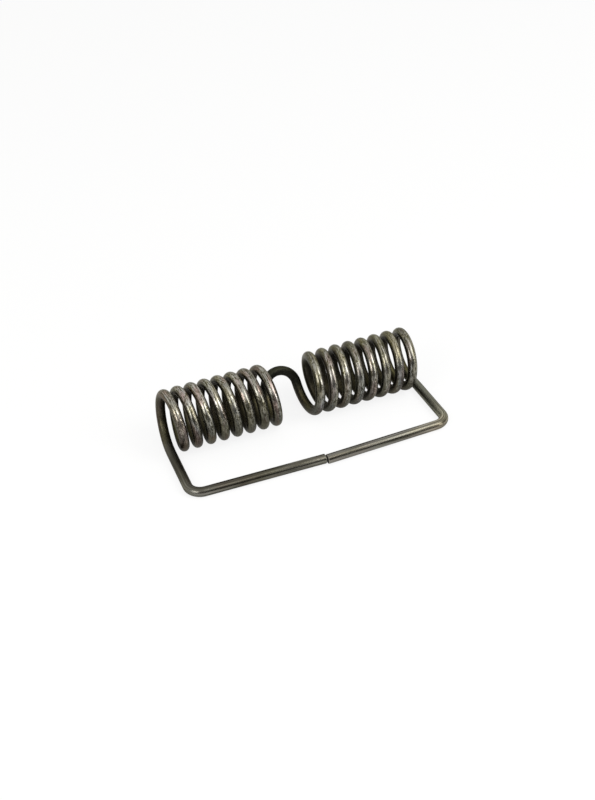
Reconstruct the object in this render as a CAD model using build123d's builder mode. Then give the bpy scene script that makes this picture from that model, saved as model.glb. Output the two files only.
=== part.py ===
# Double torsion spring, bent from one length of round spring wire.
#
# Two coils of opposite hand stand side by side on one axis. A short arched bridge joins
# their inner ends at the back. From their outer ends the wire runs forwards as two legs,
# turns two corners and meets itself in a butt joint, which closes the bail.
#
# Millimetres. The origin is on the coils' axis, in the middle of the bridge: X runs along
# the axis, Y points from the bail to the back, and Z is up. Both legs leave the coils at
# the very bottom, so every turn, both legs and the bail lie on one flat surface.

import os
from math import radians, tan

from build123d import *

# Wire
wire_diameter = 3.5

# Coils
coil_bore = 16.2        # free diameter inside the turns
full_turns = 8          # whole turns of each coil, counted from its leg
last_turn_angle = 60    # degrees wound past those, up to the bridge
left_turn_gap = 1.45    # daylight between one turn and the next
right_turn_gap = 1.65

# Bridge
bridge_opening = 8.8    # free width between its two feet
bridge_straight = 0.9   # straight wire between the left foot and the arch

# Legs
leg_length = 29.9       # from the coil to the point of the corner
leg_splay = 0.7         # degrees outwards from straight ahead
leg_ease = 6.0          # easy bend from the slant of the coil to the line of the leg

# Bail
corner_radius = 3.15    # inside of the bend
left_bow = 1.2          # degrees by which each half of the bar leans forwards
right_bow = 2.0
butt_offset = 1.3       # the joint is this far right of the bridge's middle
butt_gap = 0.35
end_chamfer = 0.25      # round the edge of both cut ends

wire_radius = wire_diameter / 2
coil_radius = coil_bore / 2 + wire_radius
coil_angle = 360 * full_turns + last_turn_angle
bridge_width = bridge_opening + wire_diameter


def wind_coil(side, turn_gap):
    """Middle line of a coil from its leg to the bridge. side is -1 for left, 1 for right."""
    pitch = wire_diameter + turn_gap
    length = pitch * coil_angle / 360
    outer_end = side * (bridge_width / 2 + length)
    start = Plane((outer_end, 0, 0), x_dir=(0, 0, -1), z_dir=(-side, 0, 0))
    helix = Helix(pitch, length, coil_radius, lefthand=side > 0, mode=Mode.PRIVATE)
    return start.location * helix


def bend_leg(side, coil, bow):
    """Middle line from a coil down its leg, round the corner and along the bar to the butt."""
    foot = coil @ 0
    out_of_coil = -(coil % 0)
    down_leg = Vector(0, -1, 0).rotate(Axis.Z, side * leg_splay)
    along_bar = Vector(-side, 0, 0).rotate(Axis.Z, side * bow)
    leg_start = foot + (out_of_coil + down_leg).normalized() * leg_ease
    corner = leg_start + down_leg * (leg_length - leg_ease)
    butt_x = butt_offset + side * butt_gap / 2
    butt = corner + along_bar * ((butt_x - corner.X) / along_bar.X)
    with BuildLine() as leg:
        TangentArc(foot, leg_start, tangent=out_of_coil)
        FilletPolyline(leg_start, corner, butt, radius=corner_radius + wire_radius)
    return leg.line


def arch_bridge(left, right):
    """Middle line of the bridge. The wire rises from both coils in lines that lean
    together towards a distant peak, and one arch rounds them off well below it."""
    left_foot, left_rise = left @ 1, left % 1
    right_foot, right_rise = right @ 1, right % 1
    closing = left_rise.X - right_rise.X * left_rise.Z / right_rise.Z
    peak = left_foot + left_rise * ((right_foot.X - left_foot.X) / closing)
    half_angle = (left_foot - peak).get_angle(right_foot - peak) / 2
    arch_start_to_peak = (peak - left_foot).length - bridge_straight
    arch_radius = arch_start_to_peak * tan(radians(half_angle))
    with BuildLine() as bridge:
        FilletPolyline(left_foot, peak, right_foot, radius=arch_radius)
    return bridge.line


left_coil = wind_coil(-1, left_turn_gap)
right_coil = wind_coil(1, right_turn_gap)

with BuildPart() as spring_wire:
    with BuildLine() as bent_line:
        add(bend_leg(-1, left_coil, left_bow))
        add(left_coil)
        add(arch_bridge(left_coil, right_coil))
        add(right_coil)
        add(bend_leg(1, right_coil, right_bow))
    middle_line = Wire(bent_line.edges())
    with BuildSketch(middle_line ^ 0):
        Circle(wire_radius)
    sweep(path=middle_line, is_frenet=True)
    cut_ends = spring_wire.faces().filter_by(GeomType.PLANE)
    chamfer(cut_ends.edges(), end_chamfer)
spring_wire.part.label = "spring_wire"

os.makedirs("parts", exist_ok=True)
export_step(spring_wire.part, "parts/spring_wire.step")
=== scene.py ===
from math import cos, pi, radians, sin, tan

import bpy
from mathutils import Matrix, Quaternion, Vector


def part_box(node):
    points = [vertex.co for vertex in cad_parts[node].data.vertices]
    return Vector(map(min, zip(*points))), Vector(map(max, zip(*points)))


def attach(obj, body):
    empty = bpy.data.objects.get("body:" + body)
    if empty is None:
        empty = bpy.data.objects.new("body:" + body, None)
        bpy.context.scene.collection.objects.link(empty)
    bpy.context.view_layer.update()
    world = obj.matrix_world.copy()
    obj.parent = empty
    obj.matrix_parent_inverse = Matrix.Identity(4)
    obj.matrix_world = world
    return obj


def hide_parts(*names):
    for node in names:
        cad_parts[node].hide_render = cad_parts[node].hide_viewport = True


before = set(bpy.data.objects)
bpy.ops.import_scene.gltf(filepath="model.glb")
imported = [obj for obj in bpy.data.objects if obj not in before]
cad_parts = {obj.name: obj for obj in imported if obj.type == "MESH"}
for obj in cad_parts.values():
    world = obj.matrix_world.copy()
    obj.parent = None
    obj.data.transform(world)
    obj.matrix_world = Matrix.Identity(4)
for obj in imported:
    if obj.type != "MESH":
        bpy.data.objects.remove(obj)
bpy.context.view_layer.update()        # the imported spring: one body, root, and one node, spring_wire
mm = 0.001
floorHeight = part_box("spring_wire")[0].z
print("frame loaded")


def hexColour(code):
    # sRGB hex to the linear colour that Blender works in
    channels = [int(code[i:i + 2], 16) / 255 for i in (1, 3, 5)]
    linear = [c / 12.92 if c <= 0.04045 else ((c + 0.055) / 1.055) ** 2.4 for c in channels]
    return (*linear, 1.0)


def addNode(tree, kind, links=(), **settings):
    # links gives the inputs, in order or by name or number, a value or what feeds them; a node
    # there stands for its first output. Mix has an A and a B for each kind of value: 2 and 3
    # for numbers, 4 and 5 for vectors, 6 and 7 for colours
    node = tree.nodes.new(kind)
    for name, value in settings.items():
        setattr(node, name, value)
    for name, value in links.items() if isinstance(links, dict) else enumerate(links):
        if isinstance(value, bpy.types.Node):
            value = value.outputs[0]
        if isinstance(value, bpy.types.NodeSocket):
            tree.links.new(value, node.inputs[name])
        else:
            node.inputs[name].default_value = value
    return node


# The wire, in millimetres. It runs from the left cut end round the corner and down the leg,
# through both coils and back to the right cut end.
wire = {
    "diameter": 3.5,
    "coilBore": 16.2,
    "turns": 8 + 60 / 360,       # from the leg up to the bridge
    "leftGap": 1.45,             # daylight between turns
    "rightGap": 1.65,
    "bridgeOpening": 8.8,
    "bridgeStraight": 0.9,
    "legLength": 29.9,
    "legSplay": 0.7,             # degrees
    "legEase": 6.0,
    "cornerRadius": 3.15,        # inside the bend
    "leftBow": 1.2,              # degrees
    "rightBow": 2.0,
    "buttOffset": 1.3,
    "buttGap": 0.35,
    "endRound": 0.25,            # worn edge of each cut end
    "endRoundSteps": 3,
    "endSlant": 1.0,             # degrees by which the cut leans, so the gap opens downwards
    "endDepth": 0.1,             # how far in from the last ring that lean reaches
    "rings": 2400,               # one every half millimetre
    "ringPoints": 36,
    "bendSteps": 24,
    "turnSteps": 120,
    "drawMark": 0.02,            # depth of the lengthwise waves left by the drawing die
    "waveLength": 26.0,
    "waveWidth": 1.1,
    "waveDetail": 2.0,
    "nickDepth": 0.05,
    "nickSize": 1.6,
    "nickRange": (0.68, 0.8),    # of the pattern, so only its peaks are nicks
    "nickDetail": 1.0,
    "seed": 7
}


def bendPoints():
    # Where the wire's middle line turns, and how wide it turns there
    radius = wire["diameter"] / 2
    coilRadius = wire["coilBore"] / 2 + radius
    angle = 2 * pi * wire["turns"]
    bends = {"Coil Radius": coilRadius, "Corner Bend": wire["cornerRadius"] + radius}
    rises = []      # each coil's inner end, and the way the wire leaves it for the bridge
    for name, side in (("Left", -1), ("Right", 1)):
        pitch = wire["diameter"] + wire[name.lower() + "Gap"]
        innerEnd = Vector((
            side * (wire["bridgeOpening"] / 2 + radius),
            coilRadius * sin(angle),
            -coilRadius * cos(angle)
        ))
        foot = Vector((innerEnd.x + side * pitch * wire["turns"], 0, -coilRadius))
        slope = Vector((-side * pitch / (2 * pi), coilRadius, 0)).normalized()
        rises.append((innerEnd, Vector((
            -side * pitch / (2 * pi),
            coilRadius * cos(angle),
            coilRadius * sin(angle)
        )).normalized()))

        splay = radians(side * wire["legSplay"])
        bow = radians(side * wire[name.lower() + "Bow"])
        downLeg = Vector((sin(splay), -cos(splay), 0))
        alongBar = Vector((-side * cos(bow), -side * sin(bow), 0))
        halfTurn = downLeg.angle(-slope) / 2
        easeReach = wire["legEase"] / 2 / cos(halfTurn)
        ease = foot - slope * easeReach
        legStart = ease + downLeg * easeReach
        corner = legStart + downLeg * (wire["legLength"] - wire["legEase"])
        buttX = wire["buttOffset"] + side * wire["buttGap"] / 2
        butt = corner + alongBar * ((buttX - corner.x) / alongBar.x - wire["endRound"])
        bends[name + " Pitch"] = pitch
        bends[name + " Foot"] = foot
        bends[name + " Ease"] = ease
        bends[name + " Ease Bend"] = easeReach / tan(halfTurn)
        bends[name + " Corner"] = corner
        bends[name + " Butt"] = butt

    # both rises run on until they meet at the bridge's peak, which is then rounded
    (leftEnd, leftRise), (rightEnd, rightRise) = rises
    closing = leftRise.x - rightRise.x * leftRise.z / rightRise.z
    peak = leftEnd + leftRise * ((rightEnd.x - leftEnd.x) / closing)
    halfArch = (leftEnd - peak).angle(rightEnd - peak) / 2
    bends["Bridge Peak"] = peak
    bends["Bridge Bend"] = ((peak - leftEnd).length - wire["bridgeStraight"]) * tan(halfArch)
    return bends


def buildWireTree():
    tree = bpy.data.node_groups.new("bentWire", "GeometryNodeTree")
    sizes = tree.interface
    sizes.new_socket("Geometry", in_out="OUTPUT", socket_type="NodeSocketGeometry")
    inputs = {
        "Float": ("Wire Diameter", "Coil Radius", "Turns", "Left Pitch", "Right Pitch",
                  "Corner Bend", "Left Ease Bend", "Right Ease Bend", "Bridge Bend",
                  "End Round", "End Slant", "Draw Mark", "Nick Depth", "Nick Size"),
        "Vector": ("Left Butt", "Left Corner", "Left Ease", "Left Foot", "Bridge Peak",
                   "Right Foot", "Right Ease", "Right Corner", "Right Butt"),
        "Int": ("Rings", "Ring Points", "Bend Steps", "Turn Steps", "Seed"),
        "Material": ("Steel", "Cut Steel")
    }
    for kind, names in inputs.items():
        for name in names:
            sizes.new_socket(name, in_out="INPUT", socket_type="NodeSocket" + kind)
    given = addNode(tree, "NodeGroupInput").outputs

    def coilPoints(side, direction):
        # a spiral stands on Z, so it is laid over onto X, with its first point at the bottom;
        # Reverse makes it climb the back of the coil from there
        reach = addNode(tree, "ShaderNodeMath", [given[side + " Pitch"], given["Turns"]],
                        operation="MULTIPLY")
        height = addNode(tree, "ShaderNodeMath", [reach, direction], operation="MULTIPLY")
        spiral = addNode(tree, "GeometryNodeCurveSpiral", {
            "Resolution": given["Turn Steps"], "Rotations": given["Turns"],
            "Start Radius": given["Coil Radius"], "End Radius": given["Coil Radius"],
            "Height": height, "Reverse": True})
        foot = addNode(tree, "ShaderNodeSeparateXYZ", [given[side + " Foot"]]).outputs
        place = addNode(tree, "ShaderNodeCombineXYZ", [foot["X"]])
        laid = addNode(tree, "GeometryNodeTransform", {
            "Geometry": spiral, "Translation": place, "Rotation": (0, pi / 2, 0)})
        if direction < 0:
            laid = addNode(tree, "GeometryNodeReverseCurve", {"Curve": laid})
        points = addNode(tree, "GeometryNodeCurveToPoints", {"Curve": laid}, mode="EVALUATED")
        return addNode(tree, "GeometryNodeSetPointRadius", {
            "Points": points.outputs["Points"], "Radius": 0.0})

    # middle line: every point carries the bend it wants as its radius
    bends = {
        "Left Butt": 0.0,
        "Left Corner": given["Corner Bend"],
        "Left Ease": given["Left Ease Bend"],
        "Bridge Peak": given["Bridge Bend"],
        "Right Ease": given["Right Ease Bend"],
        "Right Corner": given["Corner Bend"],
        "Right Butt": 0.0
    }
    points = {name: addNode(tree, "GeometryNodePoints", {
        "Count": 1, "Position": given[name], "Radius": bend}) for name, bend in bends.items()}
    stations = [
        points["Left Butt"], points["Left Corner"], points["Left Ease"],
        coilPoints("Left", 1), points["Bridge Peak"], coilPoints("Right", -1),
        points["Right Ease"], points["Right Corner"], points["Right Butt"]
    ]
    joined = addNode(tree, "GeometryNodeJoinGeometry")
    for station in reversed(stations):     # the link made last comes out first
        tree.links.new(station.outputs[0], joined.inputs[0])
    order = addNode(tree, "GeometryNodeInputIndex")
    route = addNode(tree, "GeometryNodePointsToCurves", {"Points": joined, "Weight": order})
    rounded = addNode(tree, "GeometryNodeFilletCurve", {
        "Curve": route, "Count": given["Bend Steps"],
        "Radius": addNode(tree, "GeometryNodeInputRadius")}, mode="POLY")
    middleLine = addNode(tree, "GeometryNodeResampleCurve", {
        "Curve": rounded, "Count": given["Rings"]}, mode="COUNT")

    # the section, carrying its own place across the wire along with it
    spline = addNode(tree, "GeometryNodeSplineParameter").outputs
    marked = addNode(tree, "GeometryNodeStoreNamedAttribute", {
        "Geometry": middleLine, "Name": "along", "Value": spline["Length"]},
        data_type="FLOAT", domain="POINT")
    wireRadius = addNode(tree, "ShaderNodeMath", [given["Wire Diameter"], 2.0],
                         operation="DIVIDE")
    circle = addNode(tree, "GeometryNodeCurvePrimitiveCircle", {
        "Resolution": given["Ring Points"], "Radius": wireRadius})
    position = addNode(tree, "GeometryNodeInputPosition")
    section = addNode(tree, "GeometryNodeStoreNamedAttribute", {
        "Geometry": circle, "Name": "across", "Value": position},
        data_type="FLOAT_VECTOR", domain="POINT")
    tube = addNode(tree, "GeometryNodeCurveToMesh", {
        "Curve": marked, "Profile Curve": section, "Scale": 1.0, "Fill Caps": True})
    along = addNode(tree, "GeometryNodeInputNamedAttribute", {"Name": "along"},
                    data_type="FLOAT")
    across = addNode(tree, "GeometryNodeInputNamedAttribute", {"Name": "across"},
                     data_type="FLOAT_VECTOR")
    acrossParts = addNode(tree, "ShaderNodeSeparateXYZ", [across]).outputs
    wholeLength = addNode(tree, "GeometryNodeCurveLength", {"Curve": middleLine})
    halfLength = addNode(tree, "ShaderNodeMath", [wholeLength, 2.0], operation="DIVIDE")
    fromMiddle = addNode(tree, "ShaderNodeMath", [along, halfLength],
                         operation="SUBTRACT")      # 0 half-way over the bridge
    straightened = addNode(tree, "ShaderNodeCombineXYZ", [
        fromMiddle, acrossParts["X"], acrossParts["Y"]])
    tube = addNode(tree, "GeometryNodeStoreNamedAttribute", {
        "Geometry": tube, "Name": "straightened", "Value": straightened},
        data_type="FLOAT_VECTOR", domain="POINT")

    # both cut ends: the flat is pushed out in steps round a worn edge. The flats are the only
    # faces with more corners than a quad
    quad = 4
    corners = addNode(tree, "GeometryNodeInputMeshFaceNeighbors").outputs["Vertex Count"]
    top = addNode(tree, "ShaderNodeMath", [corners, quad], operation="GREATER_THAN")
    ends = None
    steps = wire["endRoundSteps"]
    for step in range(1, steps + 1):
        turns = [pi / 2 * s / steps for s in (step, step - 1)]
        push = addNode(tree, "ShaderNodeMath", [given["End Round"], sin(turns[0]) - sin(turns[1])],
                       operation="MULTIPLY")
        pushed = addNode(tree, "GeometryNodeExtrudeMesh", {
            "Mesh": tube, "Selection": top, "Offset Scale": push}).outputs
        cuts = [addNode(tree, "ShaderNodeMath", [given["End Round"], 1 - cos(turn)],
                        operation="MULTIPLY") for turn in turns]
        radii = [addNode(tree, "ShaderNodeMath", [wireRadius, cut], operation="SUBTRACT")
                 for cut in cuts]
        tube = addNode(tree, "GeometryNodeScaleElements", {
            "Geometry": pushed["Mesh"], "Selection": pushed["Top"],
            "Scale": addNode(tree, "ShaderNodeMath", radii, operation="DIVIDE")})
        top = pushed["Top"]
        ends = top if ends is None else addNode(
            tree, "ShaderNodeMath", [ends, pushed["Side"]], operation="MAXIMUM")

    # the cut leans back towards the floor on both sides of the gap
    outside = addNode(tree, "ShaderNodeMath", [fromMiddle], operation="ABSOLUTE")
    lastRing = addNode(tree, "ShaderNodeMath", [halfLength, wire["endDepth"] * mm],
                       operation="SUBTRACT")
    nearEnd = addNode(tree, "ShaderNodeMath", [outside, lastRing], operation="GREATER_THAN")
    height = addNode(tree, "ShaderNodeSeparateXYZ", [position]).outputs["Z"]
    topHeight = addNode(tree, "ShaderNodeMath", [wireRadius, given["Coil Radius"]],
                        operation="SUBTRACT")
    drop = addNode(tree, "ShaderNodeMath", [topHeight, height], operation="SUBTRACT")
    slant = addNode(tree, "ShaderNodeMath", [given["End Slant"]], operation="TANGENT")
    lean = addNode(tree, "ShaderNodeMath", [drop, slant], operation="MULTIPLY")
    side = addNode(tree, "ShaderNodeMath", [fromMiddle], operation="SIGN")
    leanX = addNode(tree, "ShaderNodeCombineXYZ", [
        addNode(tree, "ShaderNodeMath", [lean, side], operation="MULTIPLY")])
    tube = addNode(tree, "GeometryNodeSetPosition", {
        "Geometry": tube, "Selection": nearEnd, "Offset": leanX})

    # surface: long shallow waves from drawing, and a few nicks, all cut into the round
    stored = addNode(tree, "GeometryNodeInputNamedAttribute", {"Name": "straightened"},
                     data_type="FLOAT_VECTOR")
    waveWidth = 1 / (wire["waveWidth"] * mm)
    wavePlace = addNode(tree, "ShaderNodeVectorMath", [
        stored, (1 / (wire["waveLength"] * mm), waveWidth, waveWidth)], operation="MULTIPLY")
    waves = addNode(tree, "ShaderNodeTexNoise", {
        "Vector": wavePlace, "W": given["Seed"], "Scale": 1.0, "Detail": wire["waveDetail"]},
        noise_dimensions="4D")
    nickPlace = addNode(tree, "ShaderNodeVectorMath", [
        stored, addNode(tree, "ShaderNodeCombineXYZ", [given["Nick Size"]] * 3)],
        operation="DIVIDE")
    nickPattern = addNode(tree, "ShaderNodeTexNoise", {
        "Vector": nickPlace, "W": given["Seed"], "Scale": 1.0, "Detail": wire["nickDetail"]},
        noise_dimensions="4D")
    nicks = addNode(tree, "ShaderNodeMapRange", [nickPattern, *wire["nickRange"]])
    depth = addNode(tree, "ShaderNodeMath", [
        addNode(tree, "ShaderNodeMath", [waves, given["Draw Mark"]], operation="MULTIPLY"),
        addNode(tree, "ShaderNodeMath", [nicks, given["Nick Depth"]], operation="MULTIPLY")],
        operation="ADD")
    normal = addNode(tree, "GeometryNodeInputNormal").outputs["Normal"]
    inward = addNode(tree, "ShaderNodeVectorMath", {
        0: normal, "Scale": addNode(tree, "ShaderNodeMath", [depth, -1.0],
                                    operation="MULTIPLY")}, operation="SCALE")
    tube = addNode(tree, "GeometryNodeSetPosition", {"Geometry": tube, "Offset": inward})

    for spare in ("along", "across"):
        tube = addNode(tree, "GeometryNodeRemoveAttribute", {"Geometry": tube, "Name": spare})
    smooth = addNode(tree, "ShaderNodeMath", [1.0, top], operation="SUBTRACT")
    tube = addNode(tree, "GeometryNodeSetShadeSmooth", {
        "Geometry": tube, "Shade Smooth": smooth})
    tube = addNode(tree, "GeometryNodeRealizeInstances", {"Geometry": tube})
    tube = addNode(tree, "GeometryNodeSetMaterial", {
        "Geometry": tube, "Material": given["Steel"]})
    tube = addNode(tree, "GeometryNodeSetMaterial", {
        "Geometry": tube, "Selection": ends, "Material": given["Cut Steel"]})
    addNode(tree, "NodeGroupOutput", {"Geometry": tube})
    return tree


def bendWire(steel, cutSteel):
    tree = buildWireTree()
    lengths = {
        "Wire Diameter": wire["diameter"], "End Round": wire["endRound"],
        "Draw Mark": wire["drawMark"], "Nick Depth": wire["nickDepth"],
        "Nick Size": wire["nickSize"], **bendPoints()
    }
    values = {name: length * mm for name, length in lengths.items()}
    values.update({
        "Turns": wire["turns"], "End Slant": radians(wire["endSlant"]),
        "Rings": wire["rings"], "Ring Points": wire["ringPoints"],
        "Bend Steps": wire["bendSteps"], "Turn Steps": wire["turnSteps"],
        "Seed": wire["seed"], "Steel": steel, "Cut Steel": cutSteel
    })
    carrier = bpy.data.objects.new("wireCarrier", bpy.data.meshes.new("wireCarrier"))
    bpy.context.scene.collection.objects.link(carrier)
    modifier = carrier.modifiers.new("bentWire", "NODES")
    modifier.node_group = tree
    for item in tree.interface.items_tree:
        if item.in_out == "INPUT":
            modifier[item.identifier] = values[item.name]
    evaluated = carrier.evaluated_get(bpy.context.evaluated_depsgraph_get())
    mesh = bpy.data.meshes.new_from_object(evaluated)
    bpy.data.objects.remove(carrier)
    mesh.name = "springWire"
    piece = bpy.data.objects.new("springWire", mesh)
    bpy.context.scene.collection.objects.link(piece)
    return piece


# Oil-tempered spring steel: drawn bright, then hardened and quenched in oil. That leaves a
# thin dark scale over fine lines along the wire: olive in patches and on the tops of the
# turns, and tinted by temper colours, straw above, blue below and plum in between, except
# where it is sooty or painted as shade. The upper fronts of the turns are burnished to grey
# metal, broken up by scuffs and specks; that burnish is aimed at the side that the lamps and
# the camera see, so it is partly painted highlight, and the backs are painted darker.
# Between the turns, inside the coils and over the bridge the colour is soot and painted
# shade, and the undersides of the turns are painted shade as well. The bar and the legs have
# grime over a little wear, the right arm brighter than the left, the corners and the cut ends
# more worn than the rest, and painted shadow where the legs leave the coils. The right leg's
# oxide is duller and greener, and the right corner is warm.
# A share from two numbers grows from 0 at the first to 1 at the second; two more are the
# shares at each. Pairs for both sides are left and right. Lengths are in millimetres.
temperedSteel = {
    "scaleColour": "#6e6c62",
    "oliveColour": "#65633e",
    # dark scale, also used as painted shade under the turns and painted shadow at the legs' roots
    "darkScaleAndShadeColour": "#34322a",
    "sootAndShadeColour": "#22231e",        # on the bridge
    "coreSootAndShadeColour": "#38332a",        # soot and painted shade inside the coils and between the turns
    # bare metal, also the colour of the painted highlight on the lit fronts
    "bareAndSheenColour": "#c6c5bf",
    "plumTint": "#ffdedb",
    "strawTint": "#fff6e2",
    "blueTint": "#e2eaf8",
    "cornerTint": "#fff8ea",
    "legTint": "#fbfff4",
    "edgeColour": "#dddcd8",        # seen along the surface, where scale shines less than steel
    "coilRoughness": 0.32,
    "barRoughness": 0.27,
    "legRoughness": 0.43,
    "sootRoughness": 0.55,
    "bareRoughness": 0.24,
    "speckDulling": (0.35, 0.6, 0.06, -0.06),     # added to the roughness, by the specks' pattern
    "legMetallic": 0.95,
    "lineDepth": 0.015,
    "speckDepth": 0.009,
    "armSpecks": 0.25,              # depth of the arms' specks for the coils' 1
    "patterns": {
        # real lines are nearer 0.05 wide, too fine to show
        "lines": {"length": 18.0, "width": 0.5, "detail": 2.0, "start": 1.0},
        "patches": {"length": 14.0, "width": 3.5, "detail": 2.0, "start": 5.0},
        "stains": {"length": 9.8, "width": 3.5, "detail": 3.0, "start": 9.0},
        "tints": {"length": 9.0, "width": 2.8, "detail": 3.0, "start": 21.0},
        "scuffs": {"length": 2.4, "width": 0.32, "detail": 4.0, "start": 17.0},
        "specks": {"length": 0.6, "width": 0.32, "detail": 4.0, "start": 13.0}
    },
    # measured along the wire from mid-bridge
    "zones": {
        "bridge": (14.4, 9.0),
        "coil": (520.0, 512.0),
        "pastFirstTurn": (62.0, 82.0),
        "beforeLastTurn": (450.0, 430.0),
        "legStart": (512.0, 522.0),
        "legEnd": (550.0, 542.0),
        "legRoot": (542.0, 524.0),
        "cornerStart": (538.0, 546.0),
        "cornerEnd": (562.0, 550.0),
        "cutEnd": (568.0, 584.0)
    },
    "rightSide": (-10.0, 10.0),
    "leftEndTurn": (-450.0, -468.6),
    "bothSides": {
        # painted shade, with some soot, on the flanks that face the next turn
        "gapSootShades": (0.1, 0.3),
        "plumShare": (0.9, 0.65),
        "turnWearAndSheen": (0.8, 0.68),
        "frontReach": (0.2, 0.15),
        "armWearAndSheen": (0.02, 0.33),
        "endWear": (0.2, 0.36),
        "cornerWear": (0.28, 0.48),
        "armGrimeAndShadow": (0.53, 0.26),
        "endGrime": (0.1, 0.38),
        "legGrimeAndShadow": (0.32, 0.62),
        # painted shadow that the coils cast where the legs leave them
        "rootShadow": (0.66, 1.0)    # where the legs leave the coils
    },
    "leftWornLitSide": (0.0, -0.5, 0.866),     # the way that the worn fronts look, the side the lamps and camera see: partly painted highlight
    "rightWornLitSide": (0.0, -0.72, 0.69),
    # scale: shares by pattern, then by the way the surface looks, then for arms and coils
    "olivePatches": (0.44, 0.60, 0.2, 0.7),
    "stainPatches": (0.50, 0.68, 0.0, 0.7),
    "darkLines": (0.35, 0.62),
    "pits": (0.43, 0.52, 0.75, 0.0),
    "oliveHeights": (-0.4, 0.5, 0.3, 1.0),
    "topOlive": (0.3, 0.9, 0.0, 0.8),
    "exposedPits": (-0.2, 0.4, 0.35, 1.0),
    # painted shade on the undersides of the turns, for the shadowed floor that they mirror
    "undersideShade": (0.1, -0.6, 0.0, 0.5),
    "patchShares": (0.3, 1.0),
    "lineShares": (0.78, 0.6),
    "endTurnOlive": 0.4,
    "legOlive": 0.85,
    # soot and painted shade
    "innerFaces": (0.3, -0.5),
    "gapFaces": (0.4, 0.8),
    "innerSootShades": (0.5, 1.0),        # on end turns and on the others
    "sootAndShadeShares": (0.65, 0.8),      # on the coils and the bridge
    # wear, partly painted highlight: aimed at the lit fronts, with the backs left darker
    "outerFaces": (0.0, 0.7),
    "frontEnd": 0.85,
    "armTops": (0.80, 0.95, 1.0, 0.25),
    "lessInSootShade": (0.0, 0.7, 1.0, 0.0),
    "frontScuffs": (-0.09, 0.06),   # moves the scuffs' pattern, so more show on the fronts
    "scuffFlecks": (0.50, 0.58, 0.02, 1.0),
    "brightSpecks": (0.53, 0.58),
    "armFlecks": 0.85,
    "unwornLines": (0.35, 0.6),
    "lineWear": (0.0, 0.3),         # inside those lines, on arms and coils
    # temper colours
    "sootShadeTint": 0.2,
    "plumPatches": (0.48, 0.62),
    "plumHeights": (-0.2, 0.6, 1.0, 0.85),
    "endTurnPlum": (0.34, 0.54),
    "endTurnHeights": (0.8, 0.3),
    "strawPatches": (0.50, 0.38),
    "strawHeights": (-0.2, 0.6, 0.2, 1.0),
    "bluePatches": (0.54, 0.40),
    "blueHeights": (-0.2, 0.6, 1.0, 0.2)
}


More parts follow.
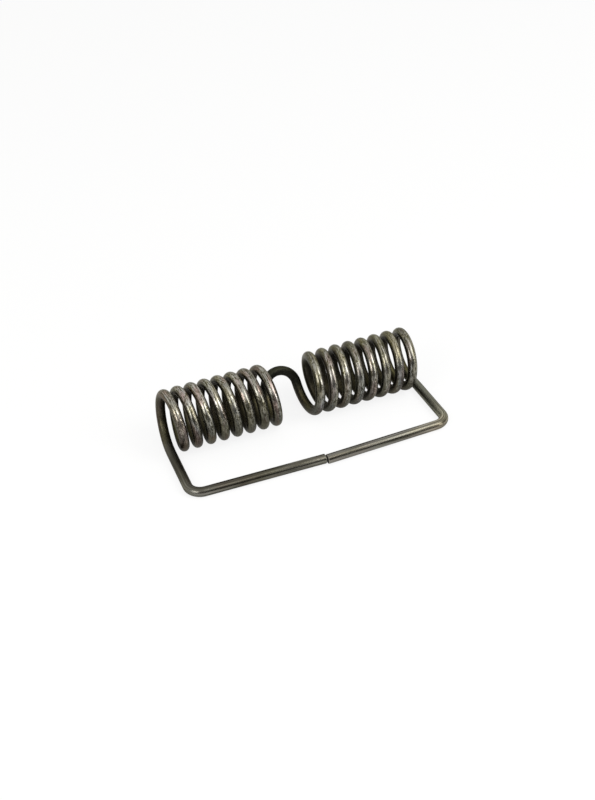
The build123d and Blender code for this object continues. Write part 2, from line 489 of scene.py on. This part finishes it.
def buildTemperedSteel():
    look = temperedSteel
    material = bpy.data.materials.new("oilTemperedSpringSteel")
    material.use_nodes = True
    tree = material.node_tree
    shader = tree.nodes["Principled BSDF"]
    shader.inputs["Specular Tint"].default_value = hexColour(look["edgeColour"])

    # patterns in the straightened wire: length runs along it, width across it
    place = addNode(tree, "ShaderNodeAttribute", attribute_name="straightened").outputs["Vector"]
    patterns = {}
    for name, size in look["patterns"].items():
        across = 1 / (size["width"] * mm)
        scaled = addNode(tree, "ShaderNodeVectorMath", [
            place, (1 / (size["length"] * mm), across, across)], operation="MULTIPLY")
        patterns[name] = addNode(tree, "ShaderNodeTexNoise", {
            "Vector": scaled, "W": size["start"], "Scale": 1.0, "Detail": size["detail"]},
            noise_dimensions="4D")

    # where along the wire
    travel = addNode(tree, "ShaderNodeSeparateXYZ", [place]).outputs["X"]
    fromMiddle = addNode(tree, "ShaderNodeMath", [travel], operation="ABSOLUTE")
    zones = {name: addNode(tree, "ShaderNodeMapRange", [fromMiddle, start * mm, end * mm])
             for name, (start, end) in look["zones"].items()}
    coil, bridge = zones["coil"], zones["bridge"]
    rightSide, leftEndTurn = (
        addNode(tree, "ShaderNodeMapRange", [travel, start * mm, end * mm])
        for start, end in (look["rightSide"], look["leftEndTurn"]))
    sides = {name: addNode(tree, "ShaderNodeMapRange", [rightSide, 0.0, 1.0, *pair])
             for name, pair in look["bothSides"].items()}
    leftEnd = addNode(tree, "ShaderNodeMath", [coil, leftEndTurn], operation="MULTIPLY")
    midTurns = addNode(tree, "ShaderNodeMath", [
        zones["pastFirstTurn"], zones["beforeLastTurn"]], operation="MULTIPLY")
    legs = addNode(tree, "ShaderNodeMath", [
        zones["legStart"], zones["legEnd"]], operation="MULTIPLY")
    corner = addNode(tree, "ShaderNodeMath", [
        zones["cornerStart"], zones["cornerEnd"]], operation="MULTIPLY")
    rightLeg = addNode(tree, "ShaderNodeMath", [legs, rightSide], operation="MULTIPLY")
    rightCorner = addNode(tree, "ShaderNodeMath", [corner, rightSide], operation="MULTIPLY")

    # which way each side of the wire looks: away from the coils' axis, along it, or up
    objectPlace = addNode(tree, "ShaderNodeTexCoord").outputs
    fromAxis = addNode(tree, "ShaderNodeVectorMath", [
        objectPlace["Object"], (0, 1, 1)], operation="MULTIPLY")
    outwards = addNode(tree, "ShaderNodeVectorMath", [fromAxis], operation="NORMALIZE")
    facing = addNode(tree, "ShaderNodeVectorMath", [
        outwards, objectPlace["Normal"]], operation="DOT_PRODUCT").outputs["Value"]
    normal = addNode(tree, "ShaderNodeSeparateXYZ", [objectPlace["Normal"]]).outputs
    sideways = addNode(tree, "ShaderNodeMath", [normal["X"]], operation="ABSOLUTE")
    height = normal["Z"]
    # the lit front: the side facing the lamps and the camera; wear aimed there is partly painted
    # highlight
    wornLitSide = addNode(tree, "ShaderNodeMix", {
        "Factor": rightSide, 4: look["leftWornLitSide"], 5: look["rightWornLitSide"]},
        data_type="VECTOR").outputs[1]
    wornLitFacing = addNode(tree, "ShaderNodeVectorMath", [
        objectPlace["Normal"], wornLitSide], operation="DOT_PRODUCT").outputs["Value"]

    # scale: olive in patches, over the tops of the turns and over the right leg
    offBridge = addNode(tree, "ShaderNodeMapRange", [bridge, 0.0, 1.0, 1.0, 0.0])
    onCoil = addNode(tree, "ShaderNodeMath", [
        addNode(tree, "ShaderNodeMapRange", [coil, 0.0, 1.0, *look["patchShares"]]), offBridge],
        operation="MULTIPLY")
    olive = addNode(tree, "ShaderNodeMapRange", [patterns["patches"], *look["olivePatches"]])
    oliveHeights = addNode(tree, "ShaderNodeMapRange", [height, *look["oliveHeights"]])
    for share in (onCoil, oliveHeights):
        olive = addNode(tree, "ShaderNodeMath", [olive, share], operation="MULTIPLY")
    upper = addNode(tree, "ShaderNodeMapRange", [height, *look["topOlive"]])
    endTurn = addNode(tree, "ShaderNodeMapRange", [leftEnd, 0.0, 1.0, 1.0, look["endTurnOlive"]])
    for share in (endTurn, coil):
        upper = addNode(tree, "ShaderNodeMath", [upper, share], operation="MULTIPLY")
    greenLeg = addNode(tree, "ShaderNodeMath", [rightLeg, look["legOlive"]], operation="MULTIPLY")
    for share in (upper, greenLeg):
        olive = addNode(tree, "ShaderNodeMath", [olive, share], operation="ADD", use_clamp=True)

    # darker scale: stains, lines, pits or grime, plus painted shadow where the legs leave the
    # coils and painted shade on the undersides of the turns
    stains = addNode(tree, "ShaderNodeMapRange", [patterns["stains"], *look["stainPatches"]])
    darkLines = addNode(tree, "ShaderNodeMapRange", [
        patterns["lines"], *look["darkLines"],
        addNode(tree, "ShaderNodeMapRange", [coil, 0.0, 1.0, *look["lineShares"]]), 0.0])
    pits = addNode(tree, "ShaderNodeMath", [
        addNode(tree, "ShaderNodeMapRange", [patterns["specks"], *look["pits"]]),
        addNode(tree, "ShaderNodeMapRange", [wornLitFacing, *look["exposedPits"]])],
        operation="MULTIPLY")
    barGrime = addNode(tree, "ShaderNodeMapRange", [
        zones["cutEnd"], 0.0, 1.0, sides["armGrimeAndShadow"], sides["endGrime"]])
    # towards the coils the legs' grime gives way to painted shadow
    legGrimeAndShadow = addNode(tree, "ShaderNodeMapRange", [
        zones["legRoot"], 0.0, 1.0, sides["legGrimeAndShadow"], sides["rootShadow"]])
    armGrimeAndShadow = addNode(tree, "ShaderNodeMapRange", [legs, 0.0, 1.0, barGrime, legGrimeAndShadow])
    pitsGrimeAndShadow = addNode(tree, "ShaderNodeMix", {0: coil, 2: armGrimeAndShadow, 3: pits})
    paintedUnderside = addNode(tree, "ShaderNodeMath", [
        addNode(tree, "ShaderNodeMapRange", [height, *look["undersideShade"]]), coil],
        operation="MULTIPLY")

    # soot and painted shade: inside the coils, between the turns and all over the bridge
    insideSootShade = addNode(tree, "ShaderNodeMath", [
        addNode(tree, "ShaderNodeMapRange", [facing, *look["innerFaces"]]),
        addNode(tree, "ShaderNodeMapRange", [midTurns, 0.0, 1.0, *look["innerSootShades"]])],
        operation="MULTIPLY")
    gapSootShade = addNode(tree, "ShaderNodeMapRange", [sideways, *look["gapFaces"]])
    for share in (sides["gapSootShades"], midTurns):
        gapSootShade = addNode(tree, "ShaderNodeMath", [gapSootShade, share], operation="MULTIPLY")
    # painted shade where the turns hide each other and inside the coils, partly soot
    hiddenSootShade = addNode(tree, "ShaderNodeMath", [insideSootShade, gapSootShade], operation="MAXIMUM")
    turnSootShade = addNode(tree, "ShaderNodeMath", [hiddenSootShade, coil], operation="MULTIPLY")
    sootAndShade = addNode(tree, "ShaderNodeMath", [turnSootShade, bridge], operation="MAXIMUM")
    sootAndShadeShare = addNode(tree, "ShaderNodeMath", [
        sootAndShade, addNode(tree, "ShaderNodeMapRange", [bridge, 0.0, 1.0, *look["sootAndShadeShares"]])],
        operation="MULTIPLY")
    sootAndShadeColour = addNode(tree, "ShaderNodeMix", {
        "Factor": bridge, 6: hexColour(look["coreSootAndShadeColour"]), 7: hexColour(look["sootAndShadeColour"])},
        data_type="RGBA").outputs[2]

    # burnished metal: the fronts of the turns, the arms, and their corners and cut ends; on the
    # fronts that face the lamps and the camera it is partly painted highlight
    turnWearAndSheen = addNode(tree, "ShaderNodeMapRange", [facing, *look["outerFaces"]])
    litFronts = addNode(tree, "ShaderNodeMapRange", [wornLitFacing, sides["frontReach"], look["frontEnd"]])
    for share in (litFronts, sides["turnWearAndSheen"]):
        turnWearAndSheen = addNode(tree, "ShaderNodeMath", [turnWearAndSheen, share], operation="MULTIPLY")
    cornerWear = addNode(tree, "ShaderNodeMath", [corner, sides["cornerWear"]],
                         operation="MULTIPLY")
    armWearAndSheen = addNode(tree, "ShaderNodeMath", [
        addNode(tree, "ShaderNodeMapRange", [
            zones["cutEnd"], 0.0, 1.0, sides["armWearAndSheen"], sides["endWear"]]), cornerWear],
        operation="ADD")
    armWearAndSheen = addNode(tree, "ShaderNodeMath", [
        armWearAndSheen, addNode(tree, "ShaderNodeMapRange", [wornLitFacing, *look["armTops"]])],
        operation="MULTIPLY")
    wearAndSheen = addNode(tree, "ShaderNodeMix", {0: coil, 2: armWearAndSheen, 3: turnWearAndSheen})
    crest = addNode(tree, "ShaderNodeMath", [
        patterns["scuffs"],
        addNode(tree, "ShaderNodeMapRange", [wornLitFacing, 0.0, 1.0, *look["frontScuffs"]])],
        operation="ADD")
    flecks = addNode(tree, "ShaderNodeMath", [
        addNode(tree, "ShaderNodeMapRange", [crest, *look["scuffFlecks"]]),
        addNode(tree, "ShaderNodeMapRange", [patterns["specks"], *look["brightSpecks"]])],
        operation="MAXIMUM")
    flecks = addNode(tree, "ShaderNodeMix", {0: coil, 2: look["armFlecks"], 3: flecks})
    offLines = addNode(tree, "ShaderNodeMapRange", [
        patterns["lines"], *look["unwornLines"],
        addNode(tree, "ShaderNodeMapRange", [coil, 0.0, 1.0, *look["lineWear"]]), 1.0])
    bareAndSheen = addNode(tree, "ShaderNodeMapRange", [sootAndShade, *look["lessInSootShade"]])
    for share in (wearAndSheen, flecks, offLines):
        bareAndSheen = addNode(tree, "ShaderNodeMath", [bareAndSheen, share], operation="MULTIPLY")

    # temper colours, as the oven left them
    tinted = addNode(tree, "ShaderNodeMath", [
        onCoil, addNode(tree, "ShaderNodeMapRange", [sootAndShade, 0.0, 1.0, 1.0, look["sootShadeTint"]])],
        operation="MULTIPLY")
    plum = addNode(tree, "ShaderNodeMapRange", [patterns["tints"], *look["plumPatches"]])
    plumHeights = addNode(tree, "ShaderNodeMapRange", [height, *look["plumHeights"]])
    for share in (sides["plumShare"], plumHeights):
        plum = addNode(tree, "ShaderNodeMath", [plum, share], operation="MULTIPLY")
    endPlum = addNode(tree, "ShaderNodeMapRange", [patterns["tints"], *look["endTurnPlum"]])
    endHeights = addNode(tree, "ShaderNodeMapRange", [height, *look["endTurnHeights"]])
    for share in (endHeights, leftEnd):
        endPlum = addNode(tree, "ShaderNodeMath", [endPlum, share], operation="MULTIPLY")
    plum = addNode(tree, "ShaderNodeMath", [plum, endPlum], operation="MAXIMUM")
    straw = addNode(tree, "ShaderNodeMath", [
        addNode(tree, "ShaderNodeMapRange", [patterns["tints"], *look["strawPatches"]]),
        addNode(tree, "ShaderNodeMapRange", [height, *look["strawHeights"]])],
        operation="MULTIPLY")
    blue = addNode(tree, "ShaderNodeMath", [
        addNode(tree, "ShaderNodeMapRange", [patterns["patches"], *look["bluePatches"]]),
        addNode(tree, "ShaderNodeMapRange", [height, *look["blueHeights"]])],
        operation="MULTIPLY")
    plum, straw, blue = (
        addNode(tree, "ShaderNodeMath", [tint, tinted], operation="MULTIPLY")
        for tint in (plum, straw, blue))

    # all of it in layers, from the bottom: a layer covers what is under it or tints it
    colour = hexColour(look["scaleColour"])
    for share, layer, way in (
            (olive, hexColour(look["oliveColour"]), "MIX"),
            (stains, hexColour(look["darkScaleAndShadeColour"]), "MIX"),
            (darkLines, hexColour(look["darkScaleAndShadeColour"]), "MIX"),
            (pitsGrimeAndShadow, hexColour(look["darkScaleAndShadeColour"]), "MIX"),
            (paintedUnderside, hexColour(look["darkScaleAndShadeColour"]), "MIX"),
            (sootAndShadeShare, sootAndShadeColour, "MIX"),
            (bareAndSheen, hexColour(look["bareAndSheenColour"]), "MIX"),
            (plum, hexColour(look["plumTint"]), "MULTIPLY"),
            (straw, hexColour(look["strawTint"]), "MULTIPLY"),
            (blue, hexColour(look["blueTint"]), "MULTIPLY"),
            (rightCorner, hexColour(look["cornerTint"]), "MULTIPLY"),
            (rightLeg, hexColour(look["legTint"]), "MULTIPLY")):
        colour = addNode(tree, "ShaderNodeMix", {"Factor": share, 6: colour, 7: layer},
                         data_type="RGBA", blend_type=way).outputs[2]
    tree.links.new(colour, shader.inputs["Base Color"])

    metallic = addNode(tree, "ShaderNodeMapRange", [rightLeg, 0.0, 1.0, 1.0, look["legMetallic"]])
    tree.links.new(metallic.outputs[0], shader.inputs["Metallic"])
    roughness = addNode(tree, "ShaderNodeMapRange", [
        coil, 0.0, 1.0, look["barRoughness"], look["coilRoughness"]])
    roughness = addNode(tree, "ShaderNodeMix", {
        0: legs, 2: roughness, 3: look["legRoughness"]})
    roughness = addNode(tree, "ShaderNodeMath", [
        roughness,
        addNode(tree, "ShaderNodeMapRange", [patterns["specks"], *look["speckDulling"]])],
        operation="ADD")
    roughness = addNode(tree, "ShaderNodeMix", {
        0: sootAndShade, 2: roughness, 3: look["sootRoughness"]})
    bareTurns = addNode(tree, "ShaderNodeMath", [bareAndSheen, coil], operation="MULTIPLY")
    roughness = addNode(tree, "ShaderNodeMix", {
        0: bareTurns, 2: roughness, 3: look["bareRoughness"]})
    tree.links.new(roughness.outputs[0], shader.inputs["Roughness"])

    lineRelief = addNode(tree, "ShaderNodeBump", {
        "Strength": 1.0, "Distance": look["lineDepth"] * mm, "Height": patterns["lines"]})
    specks = addNode(tree, "ShaderNodeMath", [
        patterns["specks"],
        addNode(tree, "ShaderNodeMapRange", [coil, 0.0, 1.0, look["armSpecks"], 1.0])],
        operation="MULTIPLY")
    speckRelief = addNode(tree, "ShaderNodeBump", {
        "Strength": 1.0, "Distance": look["speckDepth"] * mm, "Height": specks,
        "Normal": lineRelief})
    tree.links.new(speckRelief.outputs[0], shader.inputs["Normal"])
    return material


# Sheared steel: the cut ends were cropped in a shear, which tears a dull grainy face, hardened
# after that. The face is painted dark as shade from the other end across the gap; its rim is
# knocked bright and also painted lighter as the highlight that its worn edge catches.
shearedSteel = {
    "shadedFaceColour": "#3b3831",
    "grainColour": "#57534a",
    "wornRimHighlightColour": "#aaa598",
    "roughness": 0.5,
    "grain": 0.35,              # millimetres
    "grainDetail": 3.0,
    "grainDepth": 0.03,
    "grainStrength": 0.8,
    "rimFaces": (0.97, 0.85)    # how squarely they look along the bar
}


def buildShearedSteel():
    look = shearedSteel
    material = bpy.data.materials.new("shearedSpringSteel")
    material.use_nodes = True
    tree = material.node_tree
    shader = tree.nodes["Principled BSDF"]
    shader.inputs["Metallic"].default_value = 1.0
    shader.inputs["Roughness"].default_value = look["roughness"]
    place = addNode(tree, "ShaderNodeTexCoord").outputs
    grain = addNode(tree, "ShaderNodeTexNoise", {
        "Vector": place["Object"], "Scale": 1 / (look["grain"] * mm),
        "Detail": look["grainDetail"]})
    # the cut face: painted dark as shade
    shadedFace = addNode(tree, "ShaderNodeMix", {
        "Factor": grain, 6: hexColour(look["shadedFaceColour"]), 7: hexColour(look["grainColour"])},
        data_type="RGBA").outputs[2]
    normal = addNode(tree, "ShaderNodeSeparateXYZ", [place["Normal"]]).outputs
    endwise = addNode(tree, "ShaderNodeMath", [normal["X"]], operation="ABSOLUTE")
    # the rim: painted highlight on the worn, knocked-bright edge
    rimHighlight = addNode(tree, "ShaderNodeMapRange", [endwise, *look["rimFaces"]])
    colour = addNode(tree, "ShaderNodeMix", {
        "Factor": rimHighlight, 6: shadedFace, 7: hexColour(look["wornRimHighlightColour"])}, data_type="RGBA").outputs[2]
    tree.links.new(colour, shader.inputs["Base Color"])
    relief = addNode(tree, "ShaderNodeBump", {
        "Strength": look["grainStrength"], "Distance": look["grainDepth"] * mm,
        "Height": grain})
    tree.links.new(relief.outputs[0], shader.inputs["Normal"])
    return material


piece = bendWire(buildTemperedSteel(), buildShearedSteel())
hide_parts("spring_wire")
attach(piece, "root")
print("wire bent:", len(piece.data.polygons), "faces")


# Paper floor: matt white card under the spring, with more of it hung behind and a dim room
# in front, where the camera is. A tall soft box stands on the right with a broad one over it,
# and a smaller one on the left. Angles in degrees: turn is round from straight in front, to
# the right, and height is above the floor.
studio = {
    "floorColour": "#f8f8f6",
    "floorRoughness": 0.9,
    "floorWhite": 0.85,           # share of plain white that the eye sees there
    "mirroredWhite": 0.30,        # and that the metal sees
    "floorSize": 6.0,             # metres
    "shadowReach": (0.4, 1.4),    # metres from the spring: the floor is plain white past these
    "roomHeights": (0.2, 1.0),    # the dim room brightens between these, upwards
    "roomBrightness": (0.07, 0.90),
    "hungPaper": (-0.3, 0.5),     # and gives way to paper between these, towards the back
    "lampDistance": 0.85,         # metres
    "rightSoftbox": {"turn": 46, "height": 35, "width": 0.34, "depth": 0.86, "brightness": 4.2},
    "topSoftbox": {"turn": 46, "height": 60, "width": 0.90, "depth": 0.55, "brightness": 0.85},
    "leftSoftbox": {"turn": -58, "height": 33, "width": 0.42, "depth": 0.46, "brightness": 4.4}
}


def rayKinds(tree):
    # camera rays, and the rays by which a metal or a glass shows what is round it
    rays = addNode(tree, "ShaderNodeLightPath").outputs
    mirrored = addNode(tree, "ShaderNodeMath", [
        rays["Is Glossy Ray"], rays["Is Transmission Ray"]], operation="MAXIMUM")
    return rays["Is Camera Ray"], mirrored


def layFloor():
    half = studio["floorSize"] / 2
    mesh = bpy.data.meshes.new("paperFloor")
    mesh.from_pydata([(x, y, floorHeight) for x, y in (
        (-half, -half), (half, -half), (half, half), (-half, half))], [], [(0, 1, 2, 3)])
    floor = bpy.data.objects.new("paperFloor", mesh)
    bpy.context.scene.collection.objects.link(floor)
    material = bpy.data.materials.new("whitePaper")
    material.use_nodes = True
    tree = material.node_tree
    shader = tree.nodes["Principled BSDF"]
    shader.inputs["Base Color"].default_value = hexColour(studio["floorColour"])
    shader.inputs["Roughness"].default_value = studio["floorRoughness"]
    shader.inputs["Specular IOR Level"].default_value = 0.0
    viewed, mirrored = rayKinds(tree)
    place = addNode(tree, "ShaderNodeTexCoord").outputs["Object"]
    away = addNode(tree, "ShaderNodeVectorMath", [place], operation="LENGTH").outputs["Value"]
    white = addNode(tree, "ShaderNodeMapRange", [
        away, *studio["shadowReach"], studio["floorWhite"], 1.0],
        interpolation_type="SMOOTHSTEP")
    viewedWhite = addNode(tree, "ShaderNodeMath", [viewed, white], operation="MULTIPLY")
    mirroredWhite = addNode(tree, "ShaderNodeMath", [mirrored, studio["mirroredWhite"]],
                            operation="MULTIPLY")
    share = addNode(tree, "ShaderNodeMath", [viewedWhite, mirroredWhite], operation="MAXIMUM")
    glow = addNode(tree, "ShaderNodeEmission", {"Color": (1, 1, 1, 1), "Strength": 1.0})
    paper = addNode(tree, "ShaderNodeMixShader", [share, shader, glow])
    tree.links.new(paper.outputs[0], tree.nodes["Material Output"].inputs["Surface"])
    mesh.materials.append(material)


def lightRoom():
    world = bpy.data.worlds.new("studioRoom")
    bpy.context.scene.world = world
    world.use_nodes = True
    tree = world.node_tree
    direction = addNode(tree, "ShaderNodeTexCoord").outputs["Generated"]
    parts = addNode(tree, "ShaderNodeSeparateXYZ", [direction]).outputs
    room = addNode(tree, "ShaderNodeMapRange", [
        parts["Z"], *studio["roomHeights"], *studio["roomBrightness"]],
        interpolation_type="SMOOTHSTEP")
    behind = addNode(tree, "ShaderNodeMapRange", [parts["Y"], *studio["hungPaper"]],
                     interpolation_type="SMOOTHSTEP")
    viewed, mirrored = rayKinds(tree)
    backdrop = addNode(tree, "ShaderNodeMath", [behind, mirrored], operation="MULTIPLY")
    white = addNode(tree, "ShaderNodeMath", [viewed, backdrop], operation="MAXIMUM")
    strength = addNode(tree, "ShaderNodeMix", {0: white, 2: room, 3: 1.0})
    tree.links.new(strength.outputs[0], tree.nodes["Background"].inputs["Strength"])
    tree.nodes["Background"].inputs["Color"].default_value = (1, 1, 1, 1)


def hangLamps():
    for name in ("rightSoftbox", "topSoftbox", "leftSoftbox"):
        box = studio[name]
        light = bpy.data.lights.new(name, "AREA")
        light.shape = "RECTANGLE"
        light.size = box["width"]
        light.size_y = box["depth"]
        light.energy = pi * box["width"] * box["depth"] * box["brightness"]
        lamp = bpy.data.objects.new(name, light)
        turn, height = radians(box["turn"]), radians(box["height"])
        towards = Vector((sin(turn) * cos(height), -cos(turn) * cos(height), sin(height)))
        lamp.location = towards * studio["lampDistance"]
        lamp.rotation_euler = towards.to_track_quat("Z", "Y").to_euler()
        bpy.context.scene.collection.objects.link(lamp)


layFloor()
lightRoom()
hangLamps()
print("studio set")


# Camera in front, to the left and above. Distances in millimetres.
camera = {
    "eye": (-118.511, -350.859, 261.333),
    "target": (1.972, -2.986, -3.398),
    "clipStart": 10.0,
    "roll": -3.808,               # degrees
    "lens": 56.706,
    "sensor": 36.0                # on the long side of the picture
}


def placeCamera():
    data = bpy.data.cameras.new("camera")
    data.lens = camera["lens"]
    data.sensor_width = camera["sensor"]
    data.clip_start = camera["clipStart"] * mm
    holder = bpy.data.objects.new("camera", data)
    eye = Vector(camera["eye"]) * mm
    target = Vector(camera["target"]) * mm
    aim = (target - eye).to_track_quat("-Z", "Y")
    holder.location = eye
    holder.rotation_euler = (aim @ Quaternion((0, 0, 1), radians(camera["roll"]))).to_euler()
    bpy.context.scene.collection.objects.link(holder)
    bpy.context.scene.camera = holder


placeCamera()
bpy.context.scene.view_settings.view_transform = "Standard"

print("scene ready")
